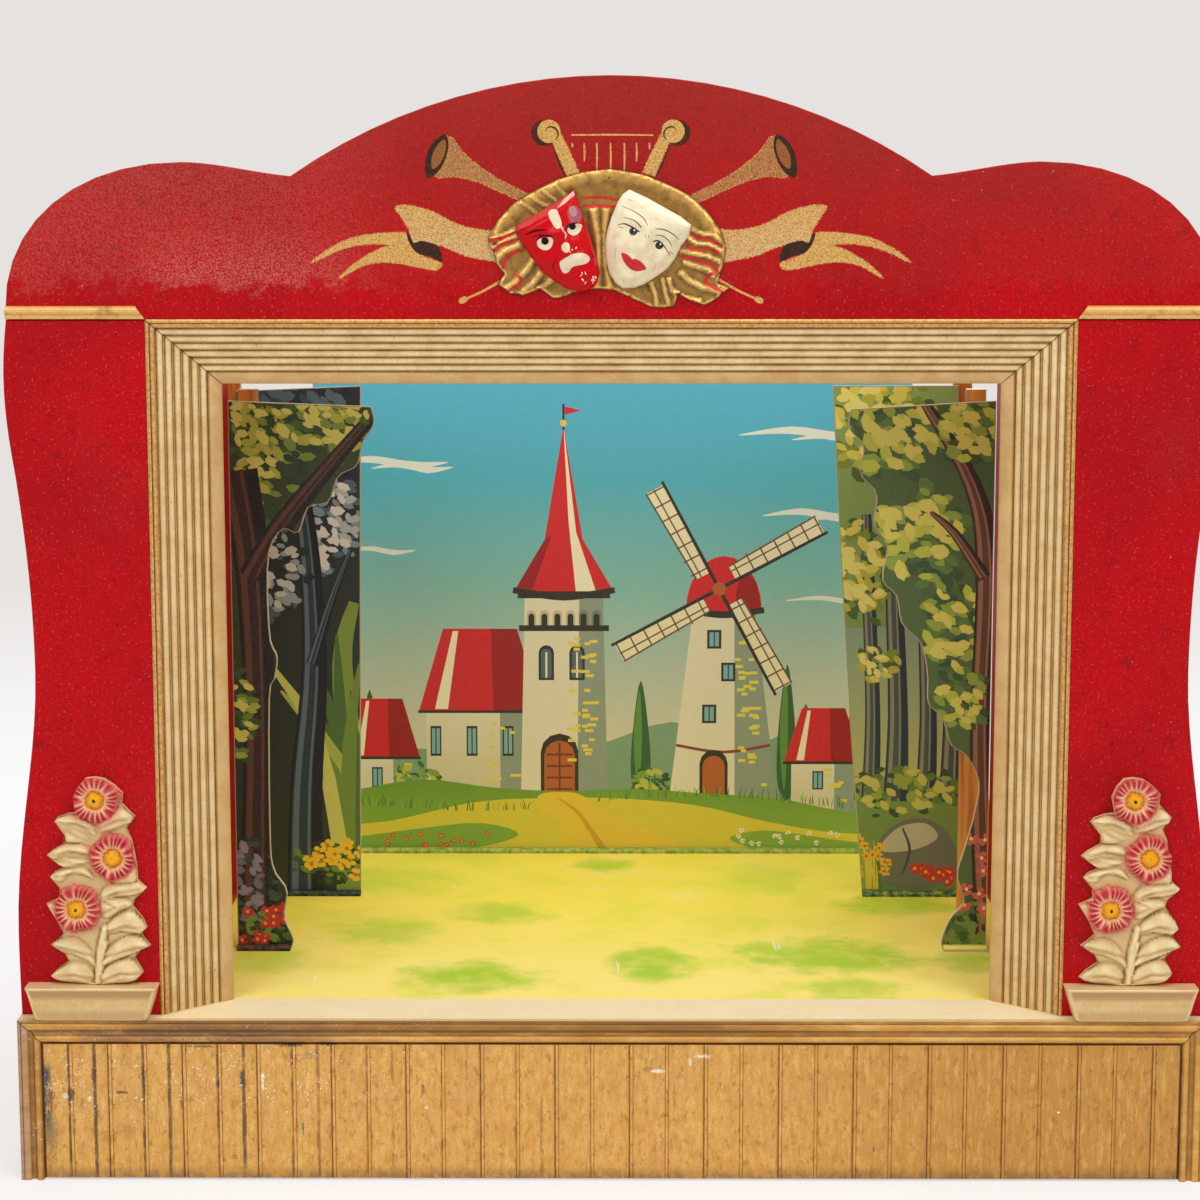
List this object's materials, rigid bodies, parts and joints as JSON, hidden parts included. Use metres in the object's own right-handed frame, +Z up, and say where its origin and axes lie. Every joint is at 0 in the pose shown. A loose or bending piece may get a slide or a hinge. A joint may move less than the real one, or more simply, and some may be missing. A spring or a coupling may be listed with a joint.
{
  "type": "puppet theater stand",
  "caption": "Tabletop puppet theatre: box stage with a beaded front, red scalloped proscenium with a splayed reeded surround, lift-off crest, plug-in scenery and backdrop.",
  "frame": {"origin": "centre of the footprint on the table, at the underside of the stage box", "axes": "+X to the viewer's right along the front, +Y from the audience to the back, +Z up"},
  "size_m": [0.808, 0.524, 0.7455],
  "materials": {
    "gilt_wood": "satin",
    "raw_wood": "matte",
    "apron_paint": "satin",
    "deck_print": "satin",
    "red_lacquer": "satin",
    "wall_lacquer": "satin",
    "reed_paint": "satin",
    "gold_strip": "satin",
    "plaque_gold": "satin",
    "mask_red": "satin",
    "mask_cream": "satin",
    "planter_gold": "satin",
    "flower_plaster": "matte",
    "varnished_wood": "satin",
    "card_front_left": "satin",
    "card_front_right": "satin",
    "card_back_left": "satin",
    "card_back_right": "satin",
    "backdrop_print": "satin"
  },
  "bodies": {
    "stage": {"base_side_left": "gilt_wood", "base_side_right": "gilt_wood", "base_back_board": "gilt_wood", "base_moulding_top": "gilt_wood", "base_moulding_left": "gilt_wood", "base_moulding_right": "gilt_wood", "base_front_panel": "gilt_wood", "base_front_board": "raw_wood", "floor_bearer": "raw_wood", "corner_block_front_left": "raw_wood", "corner_block_front_right": "raw_wood", "corner_block_back_left": "raw_wood", "corner_block_back_right": "raw_wood", "corner_batten_left": "raw_wood", "corner_batten_right": "raw_wood", "tongue_keeper_left": "raw_wood", "tongue_keeper_right": "raw_wood", "apron_board": "apron_paint", "stage_floor": "deck_print", "cleat_front_left": "deck_print", "cleat_front_right": "deck_print", "cleat_back_left": "deck_print", "cleat_back_right": "deck_print", "cleat_backdrop": "deck_print", "wing_left": "red_lacquer", "wing_right": "red_lacquer", "side_wall_left": "wall_lacquer", "side_wall_right": "wall_lacquer", "reeded_left": "reed_paint", "reeded_right": "reed_paint", "planter_left": "planter_gold", "planter_right": "planter_gold", "flower_stalk_left": "flower_plaster", "flower_stalk_right": "flower_plaster"},
    "crest": {"crest_panel": "red_lacquer", "crest_header": "raw_wood", "crest_strip_left": "gold_strip", "crest_strip_right": "gold_strip", "crest_tongue_left": "raw_wood", "crest_tongue_right": "raw_wood", "mask_plaque": "plaque_gold", "mask_tragedy": "mask_red", "mask_comedy": "mask_cream", "reeded_top": "reed_paint"},
    "backdrop": {"backdrop": "backdrop_print", "backdrop_rail": "varnished_wood", "upright_backdrop_left": "varnished_wood", "upright_backdrop_right": "varnished_wood"},
    "scenery_front_left": {"flat_front_left": "card_front_left", "upright_front_left": "varnished_wood"},
    "scenery_front_right": {"flat_front_right": "card_front_right", "upright_front_right": "varnished_wood"},
    "scenery_back_left": {"flat_back_left": "card_back_left", "upright_back_left": "varnished_wood"},
    "scenery_back_right": {"flat_back_right": "card_back_right", "upright_back_right": "varnished_wood"}
  },
  "joints": [
    {"name": "crest_lift", "type": "slide", "parent": "stage", "child": "crest", "axis": [0, 0, 1], "range_m": [0, 0.09]},
    {"name": "backdrop_lift", "type": "slide", "parent": "stage", "child": "backdrop", "axis": [0, 0, 1], "range_m": [0, 0.06]},
    {"name": "scenery_front_left_lift", "type": "slide", "parent": "stage", "child": "scenery_front_left", "axis": [0, 0, 1], "range_m": [0, 0.06]},
    {"name": "scenery_front_right_lift", "type": "slide", "parent": "stage", "child": "scenery_front_right", "axis": [0, 0, 1], "range_m": [0, 0.06]},
    {"name": "scenery_back_left_lift", "type": "slide", "parent": "stage", "child": "scenery_back_left", "axis": [0, 0, 1], "range_m": [0, 0.06]},
    {"name": "scenery_back_right_lift", "type": "slide", "parent": "stage", "child": "scenery_back_right", "axis": [0, 0, 1], "range_m": [0, 0.06]}
  ]
}
